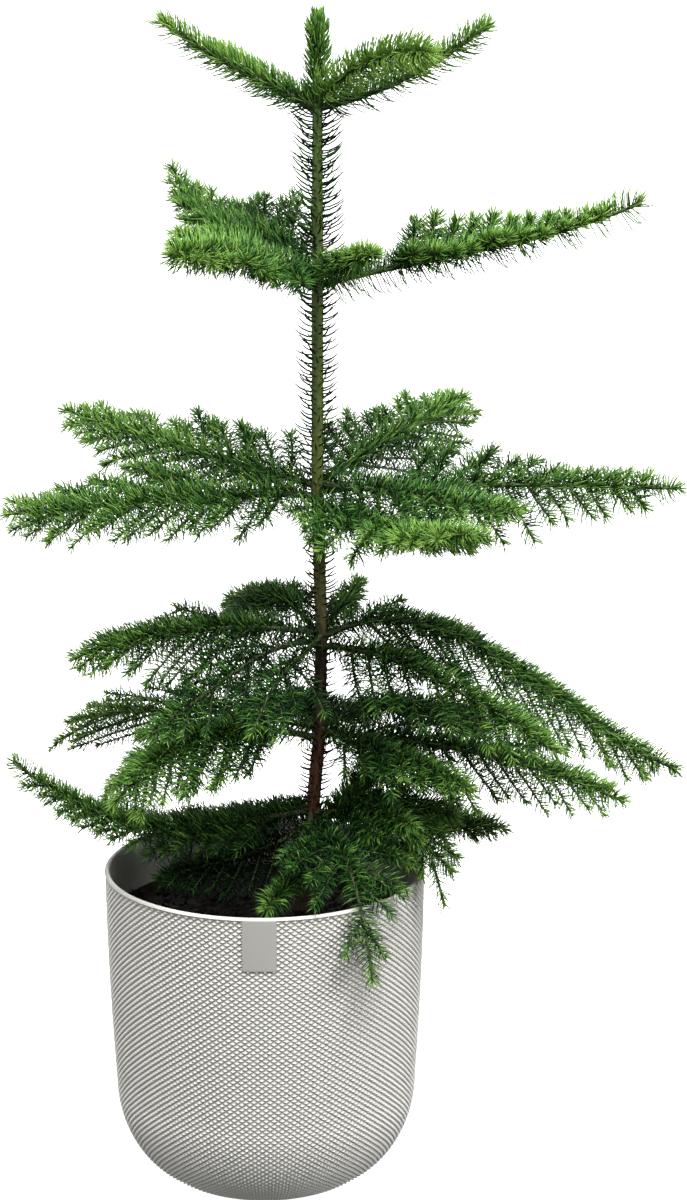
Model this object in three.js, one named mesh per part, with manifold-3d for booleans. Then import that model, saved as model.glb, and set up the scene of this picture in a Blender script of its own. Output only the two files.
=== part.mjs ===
// A young Norfolk Island pine in a round plastic pot: a single straight leader with six whorls of boughs,
// each bough a flat spray of side twigs that are clothed all round in curved awl-shaped needles.
// Millimetres, +Z up. The origin is the centre of the pot's flat underside, +X is to the plant's right
// seen from the front and +Y points to its back.
import * as THREE from "three";
import Module from "manifold-3d";

const wasm = await Module();
wasm.setup();

// ---------------------------------------------------------------- driving dimensions

const GAP = 0.3; // clearance between neighbouring pieces that touch on the real plant

const POT = {
  height: 194,
  rim_radius: 95,
  shoulder_radius: 90.2, // where the wall turns into the rounded bottom
  shoulder_height: 61,
  foot_radius: 40,
  wall: 3,
  floor: 4,
  wall_bulge: 1.8, // how late the wall draws in on its way down
  sides: 44,
};
const OUTSIDE_STEPS = { corner: 6, wall: 3 };
const INSIDE_STEPS = { corner: 3, wall: 2 };
const SOIL_TOP = 166;

// The leader's centre line, as height and offset from the pot's axis, and its radius there.
const LEADER = [
  { z: SOIL_TOP + GAP, x: 22.0, radius: 6.4 },
  { z: 171, x: 22.4, radius: 4.7 },
  { z: 180, x: 23.5, radius: 3.9 },
  { z: 229, x: 28.6, radius: 3.8 },
  { z: 276, x: 32.8, radius: 3.6 },
  { z: 334, x: 34.1, radius: 3.4 },
  { z: 422, x: 31.9, radius: 3.3 },
  { z: 541, x: 32.2, radius: 3.1 },
  { z: 641, x: 32.4, radius: 2.6 },
  { z: 686, x: 32.5, radius: 1.4 },
];
const LEADER_SIDES = 5;
// The leader's needles from each height up: their length and how far they lean upward, in degrees.
const LEADER_NEEDLES = [
  { from: 186, needle: 10, lean: 25 },
  { from: 340, needle: 9, lean: 28 },
  { from: 430, needle: 12, lean: 32 },
  { from: 548, needle: 16, lean: 35 },
  { from: 640, needle: 15, lean: 62 },
];

// Azimuths are in degrees from +X towards +Y. The rises are a bough's heights above its root at one third,
// two thirds and the whole of its reach, and offset is its root's height from the middle of its whorl.
// Twigs stand on both sides of a bough. Seen from the trunk, lifts tips those on its left and those on its
// right up out of its own plane, in degrees, and sag is how far the end of the longest one hangs.
// limb is the length of bough before the foliage begins, and longest the length of its longest twig. What a
// bough gives itself stands before its whorl's own; angles and bare are its TWIG_ANGLE and first TWIG_SPAN.
const WHORLS = [
  {
    level: 1,
    height: 641,
    limb: 0,
    needle: 13,
    longest: 0,
    boughs: [
      { side: "left", azimuth: 178, reach: 88, rises: [14, 29, 48] },
      { side: "right", azimuth: 2, reach: 96, rises: [9, 24, 46] },
      { side: "front_right", azimuth: -48, reach: 90, rises: [19, 28, 30], needle: 15, offset: 3 },
      { side: "back", azimuth: 140, reach: 83, rises: [13, 24, 34], offset: -3 },
    ],
  },
  {
    level: 2,
    height: 541,
    limb: 24,
    needle: 13,
    longest: 32,
    lifts: [40, 40],
    sag: -4,
    boughs: [
      {
        side: "right", azimuth: 0, reach: 184, rises: [14, 27, 47],
        lifts: [68, 8], longest: 34, angles: [88, 58], bare: 0.24,
      },
      {
        side: "back_left", azimuth: 122, reach: 172, rises: [27, 30, 60],
        limb: 16, lifts: [4, 34], longest: 40, bare: 0.12, offset: -3,
      },
      {
        side: "front_left", azimuth: 237, reach: 140, rises: [17, 26, 29],
        lifts: [-30, 26], longest: 42, bare: 0.1,
      },
      {
        side: "front_right", azimuth: -66, reach: 76, rises: [8, 15, 21],
        lifts: [8, 8], longest: 20, offset: 4,
      },
    ],
  },
  {
    level: 3,
    height: 422,
    limb: 28,
    needle: 12,
    longest: 46,
    lifts: [0, 0],
    sag: 8,
    boughs: [
      {
        side: "right", azimuth: 2, reach: 212, rises: [3, 2, 0],
        lifts: [40, -40], longest: 40, angles: [82, 56],
      },
      {
        side: "back_right", azimuth: 58, reach: 172, rises: [12, 22, 29],
        limb: 18, lifts: [22, -8], longest: 58, bare: 0.12, offset: 3,
      },
      {
        side: "back_left", azimuth: 147, reach: 186, rises: [8, 17, 28],
        limb: 15, lifts: [-14, 32], longest: 54, bare: 0.1, offset: 3,
      },
      {
        side: "left", azimuth: 186, reach: 180, rises: [1, -3, -7],
        limb: 13, lifts: [-10, 26], longest: 46, angles: [80, 36], bare: 0.08, offset: -3,
      },
      {
        side: "front_right", azimuth: -36, reach: 138, rises: [1, 0, -2],
        limb: 18, lifts: [10, -10], longest: 50, bare: 0.14, offset: 4,
      },
      {
        side: "front", azimuth: -56, reach: 148, rises: [-5, -4, 5],
        limb: 12, lifts: [-6, 4], longest: 42, angles: [98, 42], bare: 0.08, offset: -5,
      },
    ],
  },
  {
    level: 4,
    height: 334,
    limb: 28,
    needle: 12,
    longest: 58,
    lifts: [-8, -8],
    sag: 10,
    boughs: [
      {
        side: "right", azimuth: 2, reach: 212, rises: [4, -38, -83],
        limb: 14, lifts: [0, -36], longest: 60, angles: [64, 36], bare: 0.08,
      },
      {
        side: "back_right", azimuth: 72, reach: 74, rises: [6, 11, 15],
        lifts: [20, 10], longest: 12, offset: 3,
      },
      {
        side: "back_left", azimuth: 120, reach: 118, rises: [16, 13, 0],
        lifts: [-24, 16], longest: 34, offset: -3,
      },
      {
        side: "left", azimuth: 188, reach: 146, rises: [5, 2, -11],
        limb: 16, lifts: [-26, 14], longest: 50, angles: [60, 32], bare: 0.12, offset: 3,
      },
      {
        side: "front_left", azimuth: 218, reach: 122, rises: [0, -16, -35],
        lifts: [-10, 4], longest: 50, offset: -3,
      },
      { side: "front", azimuth: 246, reach: 94, rises: [-8, -16, -38], longest: 46, offset: 3 },
      {
        side: "front_right", azimuth: -26, reach: 150, rises: [-4, -22, -46],
        limb: 16, lifts: [6, -20], longest: 54, angles: [68, 42], bare: 0.12, offset: -5,
      },
    ],
  },
  {
    level: 5,
    height: 276,
    limb: 28,
    needle: 12,
    longest: 58,
    lifts: [-8, -8],
    sag: 10,
    boughs: [
      {
        side: "right", azimuth: -10, reach: 181, rises: [-3, -13, -33],
        limb: 18, lifts: [14, -30], longest: 50, bare: 0.12,
      },
      { side: "back_right", azimuth: 42, reach: 136, rises: [4, -4, -22], offset: 3 },
      { side: "back", azimuth: 100, reach: 120, rises: [6, 2, -12], offset: -3 },
      {
        side: "back_left", azimuth: 164, reach: 160, rises: [5, 3, -9],
        limb: 18, lifts: [-26, 18], longest: 84, angles: [36, 20], bare: 0.12, offset: 3,
      },
      {
        side: "left", azimuth: 214, reach: 140, rises: [13, 12, -18],
        lifts: [-22, -4], longest: 48, offset: -3,
      },
      {
        side: "front_right", azimuth: -40, reach: 113, rises: [-6, -10, -18],
        limb: 18, longest: 36, bare: 0.16, offset: 4,
      },
    ],
  },
  {
    level: 6,
    height: 228,
    limb: 0,
    needle: 12,
    longest: 44,
    lifts: [2, 2],
    sag: 6,
    boughs: [
      {
        side: "right", azimuth: -28, reach: 88, rises: [10, 14, -46],
        lifts: [50, -44], longest: 54, angles: [50, 36], bare: 0.1,
      },
      { side: "back_right", azimuth: 16, reach: 122, rises: [-2, -8, -18], longest: 34, offset: -4 },
      {
        side: "back_left", azimuth: 138, reach: 104, rises: [-10, -21, -32],
        lifts: [-10, 0], longest: 40, bare: 0.1, offset: 2,
      },
      { side: "left", azimuth: 182, reach: 177, rises: [-8, -3, 33], lifts: [-10, 2], bare: 0.1 },
      {
        side: "mid_left", azimuth: 204, reach: 96, rises: [-13, -18, -22],
        lifts: [-26, 4], longest: 34, bare: 0.16, offset: -7,
      },
      { side: "front_left", azimuth: 250, reach: 76, rises: [-33, -38, -41], longest: 0, offset: 3 },
      {
        side: "front", azimuth: -70, reach: 104, rises: [-6, -15, -67],
        longest: 54, bare: 0.1, offset: -4,
      },
    ],
  },
];

const CORE = { limb_root: 1.8, stem_root: 1.4, stem_tip: 0.8, twig_root: 1.1, twig_tip: 0.7 };
const LIMB_SIDES = 5;
const LIMB_STEPS = 2;
const TWIG_SIDES = 3;
const NEEDLE_STEP = { twig: 15, leader: 10 }; // from one set of needles to the next
const NEEDLE_FOOT = { twig: 7.5, leader: 3.5 }; // the length of stem that a set of needles stands on
const NEEDLE_LEAN = 42; // degrees that a twig's needles lean forward from square to it

const TWIG_SPACING = 50; // along one side of a bough
const TWIG_SPAN = { first: 0.22, last: 0.9 }; // the part of a bough that carries twigs
const TWIG_ANGLE = [64, 40]; // degrees between a twig and its bough, at the bough's root and at its tip
const TWIG_FORWARD = 0.18; // how far a twig's end swings forward, as a share of its length

const NEEDLE_CLEAR = 0.6; // from a needle's tip to the next mass's own space
const TWIG_CLEAR = 5; // from a twig's centre line to anything that isn't its own mass
const LEADER_CLEAR = 12; // from a twig's centre line to the leader
const BUD = 4; // from the end of a stem's last needles' foot to its own tip
const SAMPLE_STEP = 3; // between the points that stand for a line when distances are taken

const COLOURS = {
  pot: 0xe4e3de,
  soil: 0x1b1612,
  trunk: 0x4a4425,
  bough: 0x4b5a2a,
  foliage: [0x3f7a2c, 0x3c732d, 0x336a30, 0x2b5c30, 0x28552c, 0x245026],
};

// ---------------------------------------------------------------- small helpers

const { degToRad, lerp, clamp } = THREE.MathUtils;

const UP = new THREE.Vector3(0, 0, 1);

/** A repeatable source of numbers from low to high. */
function seeded(seed) {
  let state = seed;
  return (low = 0, high = 1) => {
    state = (state * 48271) % 2147483647;
    return lerp(low, high, state / 2147483647);
  };
}

/** One column of the leader's table at a height, straight between its rows. */
function leaderAt(key, z) {
  const above = LEADER.findIndex((row) => row.z > z);
  if (above === 0) return LEADER[0][key];
  if (above < 0) return LEADER.at(-1)[key];
  const low = LEADER[above - 1];
  const high = LEADER[above];
  return lerp(low[key], high[key], (z - low.z) / (high.z - low.z));
}

const leaderPoint = (z) => new THREE.Vector3(leaderAt("x", z), 0, z);

/** n + 1 points of a curve, evenly spaced from one share of it to another. */
function pointsAlong(curve, from, to, n) {
  return Array.from({ length: n + 1 }, (_, i) => curve(lerp(from, to, i / n)));
}

/** At each point the direction ahead and two square to it, turned as little as possible on the way. */
function framesAlong(points) {
  let side = UP.clone();
  return points.map((_, i) => {
    const next = points[Math.min(i + 1, points.length - 1)];
    const ahead = next.clone().sub(points[Math.max(i - 1, 0)]).normalize();
    side = side.addScaledVector(ahead, -side.dot(ahead)).normalize();
    return { ahead, side: side.clone(), other: ahead.clone().cross(side) };
  });
}

/** The point at an angle round a centre line and a distance out from it. */
function beside(point, frame, angle, distance) {
  return point
    .clone()
    .addScaledVector(frame.side, Math.cos(angle) * distance)
    .addScaledVector(frame.other, Math.sin(angle) * distance);
}

// ---------------------------------------------------------------- stems with needles

function solidFrom(vertices, triangles) {
  const mesh = new wasm.Mesh({
    numProp: 3,
    vertProperties: Float32Array.from(vertices.flatMap((vertex) => vertex.toArray())),
    triVerts: Uint32Array.from(triangles.flat()),
  });
  return new wasm.Manifold(mesh);
}

function geometryFrom(solid) {
  const { vertProperties, triVerts } = solid.getMesh();
  const geometry = new THREE.BufferGeometry();
  geometry.setAttribute("position", new THREE.BufferAttribute(vertProperties, 3));
  geometry.setIndex(new THREE.BufferAttribute(triVerts, 1));
  geometry.computeVertexNormals();
  return geometry;
}

/**
 * A stem as one closed surface of rings with a few corners. Every second span from ring to ring, from the
 * second one on, is a short foot that carries needles, and its upper ring is turned by half a corner.
 * needleTip gives the tip to which a face of a foot is drawn out, or nothing where that face stays bare.
 * The stem ends in a point where it gets one, and is cut flat where not.
 */
function stemSolid({ points, frames, radii, sides, needleTip = () => null, end = null }) {
  const corner = (2 * Math.PI) / sides;
  const turned = (i, k) => (k + Math.floor(i / 2) / 2) * corner;
  const vertices = points.flatMap((point, i) =>
    Array.from({ length: sides }, (_, k) => beside(point, frames[i], turned(i, k), radii[i])),
  );
  const triangles = [];
  const at = (i, k) => i * sides + (k % sides);
  const drawOut = (a, b, c, tip) => {
    const apex = vertices.push(tip) - 1;
    triangles.push([a, b, apex], [b, c, apex], [c, a, apex]);
  };
  for (let i = 0; i < points.length - 1; i++) {
    for (let k = 0; k < sides; k++) {
      const foot = points[i].clone().lerp(points[i + 1], 1 / 3);
      const place = { foot, frame: frames[i], angle: turned(i, k + 0.5), radius: radii[i], span: i, face: k };
      const tip = i % 2 ? needleTip(place) : null;
      if (tip) drawOut(at(i, k), at(i, k + 1), at(i + 1, k), tip);
      else triangles.push([at(i, k), at(i, k + 1), at(i + 1, k)]);
      triangles.push([at(i + 1, k), at(i, k + 1), at(i + 1, k + 1)]);
    }
  }
  const last = points.length - 1;
  for (let k = 1; k < sides - 1; k++) triangles.push([at(0, 0), at(0, k + 1), at(0, k)]);
  if (end) {
    const apex = vertices.push(end) - 1;
    for (let k = 0; k < sides; k++) triangles.push([at(last, k), at(last, k + 1), apex]);
  } else {
    for (let k = 1; k < sides - 1; k++) triangles.push([at(last, 0), at(last, k), at(last, k + 1)]);
  }
  return solidFrom(vertices, triangles);
}

/** The tip of a needle that stands on a stem's side and leans ahead. */
function leaningTip({ foot, frame, angle, radius }, length, lean) {
  const out = radius + length * Math.cos(degToRad(lean));
  return beside(foot, frame, angle, out).addScaledVector(frame.ahead, length * Math.sin(degToRad(lean)));
}

/** The distances of the rings along a leader or twig: its start, then both ends of each needle set's foot. */
function ringDistances(length, kind) {
  const sets = Math.max(1, Math.round(length / NEEDLE_STEP[kind]));
  const feet = Array.from({ length: sets }, (_, i) => ((i + 1) * length) / sets);
  return [0, ...feet.flatMap((top) => [top - NEEDLE_FOOT[kind], top])];
}

// ---------------------------------------------------------------- pot and soil

/** The pot's outer radius at a height on its wall. */
function potRadius(z) {
  const down = clamp((POT.height - z) / (POT.height - POT.shoulder_height), 0, 1);
  return lerp(POT.rim_radius, POT.shoulder_radius, down ** POT.wall_bulge);
}

/** Points up the pot's wall, inset from its outside, from the height of a floor up to a top. */
function potWall(inset, floor, top, steps) {
  const round = POT.shoulder_radius - POT.foot_radius;
  const points = [];
  for (let i = 0; i < steps.corner; i++) {
    const turn = (Math.PI / 2) * (1 - i / steps.corner);
    const rise = (POT.shoulder_height - floor) * (1 - Math.sin(turn));
    points.push(new THREE.Vector2(POT.foot_radius + round * Math.cos(turn) - inset, floor + rise));
  }
  for (let i = 0; i <= steps.wall; i++) {
    const z = lerp(POT.shoulder_height, top, i / steps.wall);
    points.push(new THREE.Vector2(potRadius(z) - inset, z));
  }
  return points;
}

const lathed = (profile) => new THREE.LatheGeometry(profile, POT.sides).rotateX(Math.PI / 2);

function potGeometry() {
  const outside = potWall(0, 0, POT.height, OUTSIDE_STEPS);
  const inside = potWall(POT.wall, POT.floor, POT.height, INSIDE_STEPS).reverse();
  return lathed([new THREE.Vector2(0, 0), ...outside, ...inside, new THREE.Vector2(0, POT.floor)]);
}

function soilGeometry() {
  const floor = POT.floor + GAP;
  const edge = potWall(POT.wall + GAP, floor, SOIL_TOP, INSIDE_STEPS);
  return lathed([new THREE.Vector2(0, floor), ...edge, new THREE.Vector2(0, SOIL_TOP)]);
}

// ---------------------------------------------------------------- the lines of the boughs and twigs

/** A bough's height above its root: the cubic through its three rises at one third, two thirds and one. */
function riseAt([third, twoThirds, whole], s) {
  const near = (27 / 2) * s * (s - 2 / 3) * (s - 1) * third;
  const far = (-27 / 2) * s * (s - 1 / 3) * (s - 1) * twoThirds;
  return near + far + (9 / 2) * s * (s - 1 / 3) * (s - 2 / 3) * whole;
}

/** The point at a share of a bough's reach. */
function boughPoint({ root, azimuth, reach, rises }, s) {
  const outward = new THREE.Vector3(reach * s, 0, 0).applyAxisAngle(UP, degToRad(azimuth));
  return root.clone().add(outward).addScaledVector(UP, riseAt(rises, s));
}

/** A twig as a curve from 0 to 1. side is 1 on its bough's left, seen from the trunk, and -1 on its right. */
function twigCurve(bough, s, side, length) {
  const root = boughPoint(bough, s);
  const ahead = boughPoint(bough, s + 0.01).sub(boughPoint(bough, s - 0.01)).normalize();
  const across = UP.clone().cross(ahead).normalize();
  const above = ahead.clone().cross(across);
  const lift = degToRad(bough.lifts[side > 0 ? 0 : 1]);
  const out = across.multiplyScalar(side * Math.cos(lift)).addScaledVector(above, Math.sin(lift));
  const [rootAngle, tipAngle] = bough.angles ?? TWIG_ANGLE;
  const angle = degToRad(lerp(rootAngle, tipAngle, s));
  const heading = ahead.clone().multiplyScalar(Math.cos(angle)).addScaledVector(out, Math.sin(angle));
  const sag = (bough.sag * length) / bough.longest;
  return (t) =>
    root
      .clone()
      .addScaledVector(heading, length * t)
      .addScaledVector(ahead, TWIG_FORWARD * length * t * t)
      .addScaledVector(UP, -sag * t * t);
}

/** A twig's length as a share of its bough's longest: they grow a little from the first, then shrink. */
function twigShare(s) {
  const along = (s - TWIG_SPAN.first) / (1 - TWIG_SPAN.first);
  return Math.min(1, 0.8 + 0.9 * along) * (1 - 0.82 * along);
}

/** The twigs of a bough, those on its two sides staggered. */
function twigsOf(bough, random) {
  if (!bough.longest) return [];
  const first = Math.max((bough.bare ?? TWIG_SPAN.first) * bough.reach, bough.limb + TWIG_CLEAR);
  const room = TWIG_SPAN.last * bough.reach - first;
  const count = 2 * Math.round(room / TWIG_SPACING);
  return Array.from({ length: count }, (_, i) => {
    const s = (first + (room * (i + random(0.25, 0.75))) / count) / bough.reach;
    const length = bough.longest * twigShare(s) * random(0.88, 1.1);
    const curve = twigCurve(bough, s, i % 2 ? 1 : -1, length);
    return { curve, length, root: CORE.twig_root, tip: CORE.twig_tip };
  });
}

/** The stem of a bough's foliage, from where its limb ends to its last needles. */
function stemOf(bough) {
  const from = bough.limb ? bough.limb + GAP / 2 : 0;
  const length = bough.reach - BUD - from;
  const curve = (t) => boughPoint(bough, (from + length * t) / bough.reach);
  return { curve, length, root: CORE.stem_root, tip: CORE.stem_tip };
}

const masses = WHORLS.flatMap(({ boughs, ...habit }) =>
  boughs.map((own, i) => {
    const bough = { ...habit, ...own };
    bough.root = leaderPoint(habit.height + (own.offset ?? 0));
    const random = seeded(1000 * habit.level + 77 * (i + 1));
    return { bough, random, name: `${habit.level}_${own.side}`, lines: [stemOf(bough)] };
  }),
);

// ---------------------------------------------------------------- each mass's own space

/** Distance from a point to the nearest of a line's sample points. */
const distanceTo = (line, point) => Math.min(...line.samples.map((sample) => point.distanceTo(sample)));

/** Whether a point is in the pot's wall or the soil, or nearer to them than a clearance. */
function inPotOrSoil(point, clearance) {
  const radius = Math.hypot(point.x, point.y);
  const wall = potRadius(point.z);
  if (point.z < SOIL_TOP + clearance && radius < wall) return true;
  const nearWall = radius < wall + clearance && radius > wall - POT.wall - clearance;
  return point.z < POT.height + clearance && nearWall;
}

const trace = (owner, curve, length) => ({
  owner,
  samples: pointsAlong(curve, 0, 1, Math.ceil(length / SAMPLE_STEP)),
});

const leaderHeight = LEADER.at(-1).z - LEADER[0].z;
const leaderLine = trace("leader", (t) => leaderPoint(LEADER[0].z + leaderHeight * t), leaderHeight);

/** The centre lines that the plant is made of, each with the mass that it belongs to. */
const skeleton = [leaderLine];
for (const mass of masses) {
  const { bough } = mass;
  const limb = (t) => boughPoint(bough, (t * bough.limb) / bough.reach);
  if (bough.limb) skeleton.push(trace("limb", limb, bough.limb));
  skeleton.push(trace(mass, mass.lines[0].curve, mass.lines[0].length));
}
for (const mass of masses) {
  for (const twig of twigsOf(mass.bough, mass.random)) {
    const line = trace(mass, twig.curve, twig.length);
    const others = skeleton.filter(({ owner }) => owner !== mass && owner !== "leader");
    const blocked = line.samples.some(
      (point) =>
        inPotOrSoil(point, TWIG_CLEAR) ||
        distanceTo(leaderLine, point) < LEADER_CLEAR ||
        others.some((other) => distanceTo(other, point) < TWIG_CLEAR),
    );
    if (blocked) continue;
    skeleton.push(line);
    mass.lines.push(twig);
  }
}

/** Whether a needle stays in its owner's own space: nearer to its lines than to anybody else's. */
function inOwnSpace(foot, tip, owner) {
  return [tip, tip.clone().lerp(foot, 0.5)].every((point) => {
    if (inPotOrSoil(point, NEEDLE_CLEAR)) return false;
    const own = skeleton.filter((line) => line.owner === owner);
    const home = Math.min(...own.map((line) => distanceTo(line, point)));
    return skeleton.every((line) => line.owner === owner || distanceTo(line, point) > home + NEEDLE_CLEAR);
  });
}

// ---------------------------------------------------------------- leader, boughs and masses

function leaderParts(extra) {
  const bare = LEADER.filter((row) => row.z < LEADER_NEEDLES[0].from).map((row) => row.z);
  const base = bare.pop();
  const rings = ringDistances(LEADER.at(-1).z - base, "leader").map((along) => base + along);
  const heights = [...bare, ...rings];
  const upright = { ahead: UP, side: new THREE.Vector3(1, 0, 0), other: new THREE.Vector3(0, 1, 0) };
  return {
    points: heights.map(leaderPoint),
    frames: heights.map(() => upright),
    radii: heights.map((z) => leaderAt("radius", z) + extra),
    sides: LEADER_SIDES,
  };
}

function leaderSolid() {
  const random = seeded(41);
  const needleTip = (place) => {
    const dress = LEADER_NEEDLES.findLast((row) => place.foot.z >= row.from);
    if (!dress || (2 * place.face + place.span) % LEADER_SIDES > 2) return null;
    const tip = leaningTip(place, dress.needle * random(0.85, 1.1), dress.lean);
    return inOwnSpace(place.foot, tip, "leader") ? tip : null;
  };
  const top = LEADER.at(-1);
  return stemSolid({ ...leaderParts(0), needleTip, end: new THREE.Vector3(top.x, 0, top.z + BUD) });
}

/** The leader grown by the gap that what stands on it keeps. */
const leaderSleeve = stemSolid(leaderParts(GAP / Math.cos(Math.PI / LEADER_SIDES)));

function limbSolid({ bough }) {
  const end = (bough.limb - GAP / 2) / bough.reach;
  const points = pointsAlong((s) => boughPoint(bough, s), 0, end, LIMB_STEPS);
  const radii = points.map((_, i) => lerp(CORE.limb_root, CORE.stem_root, i / LIMB_STEPS));
  return stemSolid({ points, frames: framesAlong(points), radii, sides: LIMB_SIDES }).subtract(leaderSleeve);
}

/** A stem or twig of a mass with its needles. */
function dressedSolid(mass, line) {
  const { curve, length, root, tip } = line;
  const rings = ringDistances(length, "twig");
  const points = rings.map((along) => curve(along / length));
  const frames = framesAlong(points);
  const needleTip = (place) => {
    const end = leaningTip(place, mass.bough.needle * mass.random(0.85, 1.1), NEEDLE_LEAN);
    return inOwnSpace(place.foot, end, mass) ? end : null;
  };
  return stemSolid({
    points,
    frames,
    radii: rings.map((along) => lerp(root, tip, along / length)),
    sides: TWIG_SIDES,
    needleTip,
    end: points.at(-1).clone().addScaledVector(frames.at(-1).ahead, BUD),
  });
}

function massSolid(mass) {
  const whole = mass.lines.map((line) => dressedSolid(mass, line)).reduce((joined, twig) => joined.add(twig));
  return mass.bough.limb ? whole : whole.subtract(leaderSleeve);
}

// ---------------------------------------------------------------- the assembly

function node(name, geometry, color, roughness) {
  const mesh = new THREE.Mesh(geometry, new THREE.MeshStandardMaterial({ color, roughness, metalness: 0 }));
  mesh.name = name;
  return mesh;
}

const plant = new THREE.Group();
plant.add(node("pot", potGeometry(), COLOURS.pot, 0.55));
plant.add(node("soil", soilGeometry(), COLOURS.soil, 1));
plant.add(node("trunk", geometryFrom(leaderSolid()), COLOURS.trunk, 0.8));
for (const mass of masses) {
  const { bough, name } = mass;
  if (bough.limb) plant.add(node(`bough_${name}`, geometryFrom(limbSolid(mass)), COLOURS.bough, 0.8));
  plant.add(node(`foliage_${name}`, geometryFrom(massSolid(mass)), COLOURS.foliage[bough.level - 1], 0.6));
}

export default plant;
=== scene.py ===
"""A young Norfolk Island pine in a round plastic pot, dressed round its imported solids.

The boughs and twigs follow the same rule as the solids, carried on to finer twigs and single needles. Metres,
+Z up; +X is to the plant's right seen from the front and +Y points to its back.
"""

import math

import bmesh
import bpy
import numpy as np
from mathutils import Matrix, Vector, noise


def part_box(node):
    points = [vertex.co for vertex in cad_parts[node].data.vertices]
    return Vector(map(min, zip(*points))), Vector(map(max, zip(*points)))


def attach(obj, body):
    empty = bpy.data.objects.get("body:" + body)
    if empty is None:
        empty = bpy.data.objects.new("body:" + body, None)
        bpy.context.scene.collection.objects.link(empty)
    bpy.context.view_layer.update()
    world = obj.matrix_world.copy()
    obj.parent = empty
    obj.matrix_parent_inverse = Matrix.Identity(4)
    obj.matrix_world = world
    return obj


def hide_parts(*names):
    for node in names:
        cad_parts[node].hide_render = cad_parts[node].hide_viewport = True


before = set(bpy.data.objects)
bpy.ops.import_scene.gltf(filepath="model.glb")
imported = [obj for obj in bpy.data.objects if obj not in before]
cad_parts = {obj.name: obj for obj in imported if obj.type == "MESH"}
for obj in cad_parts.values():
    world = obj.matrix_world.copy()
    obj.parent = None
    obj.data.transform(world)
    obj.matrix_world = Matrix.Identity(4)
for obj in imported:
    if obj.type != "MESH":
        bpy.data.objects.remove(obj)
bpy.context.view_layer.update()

# ---- sizes of the pot, from the frame

POT_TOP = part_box("pot")[1].z
RIM_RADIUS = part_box("pot")[1].x
SOIL_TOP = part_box("soil")[1].z

SHOULDER = dict(height=0.061, radius=0.0902)  # where the wall turns into the rounded bottom
FOOT_RADIUS = 0.04
WALL = 0.003
FLOOR = 0.004
WALL_BULGE = 1.8  # how late the wall draws in on its way down
GAP = 0.0003
CURVE_SAMPLES = 200

LIP_HEIGHT = 0.0015  # the smooth band above the knurl
LIP_GAP = 0.0001  # between the last of the knurl and the band or the tab
INSIDE_FROM = 0.006  # the first ring inside the pot, below its rim
KNURL = dict(columns=244, row=0.00172, proud=0.0008, sunk=0.0009)
TAB = dict(azimuth=-90.4, width=0.0196, height=0.0304, depth=0.0012, corner=0.0009, edge=0.00022)
TAB_CUTS = (10, 12)  # across its width and its height, for the bend
RINGS = dict(rim=9, wall=12, corner=8)  # of the lip and the inside
ROUNDING = SHOULDER["radius"] - FOOT_RADIUS

# ---- sizes of the plant

# The leader's centre line, as height and offset from the pot's axis, and its radius there.
LEADER = np.array([
    (SOIL_TOP + GAP, 0.0220, 0.0064),
    (0.171, 0.0224, 0.0047),
    (0.180, 0.0235, 0.0039),
    (0.229, 0.0286, 0.0038),
    (0.276, 0.0328, 0.0036),
    (0.334, 0.0341, 0.0034),
    (0.422, 0.0319, 0.0033),
    (0.541, 0.0322, 0.0031),
    (0.641, 0.0324, 0.0026),
    (0.686, 0.0325, 0.0014),
])
LEADER_TIP = 0.690

TWIG_SPAN = (0.22, 0.9)  # the part of a bough that carries twigs

# What a bough has where neither it nor its whorl says otherwise. Here and in WHORLS its rises and these lengths
# are in millimetres.
MILLIMETRES = 1000  # in a metre
LENGTHS = ("height", "offset", "reach", "limb", "longest", "sag", "spacing", "needle")
HABIT = dict(
    offset=0, limb=28, longest=58, lifts=(-8, -8), sag=10, spacing=10.2, bare=TWIG_SPAN[0], angles=(64, 40),
    needle=12, stem_crowd=5200, twig_crowd=3300, stem_lean=(4, 38), twig_lean=(10, 42), under=0.6, tone=0.5,
    full=0, bushy=1, dense=1, comb=1, root_crowd=0.45, fresh=0,
)


def bough(side, azimuth, reach, rises, **own):
    """A row of WHORLS."""
    return dict(side=side, azimuth=azimuth, reach=reach, rises=rises, **own)


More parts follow.
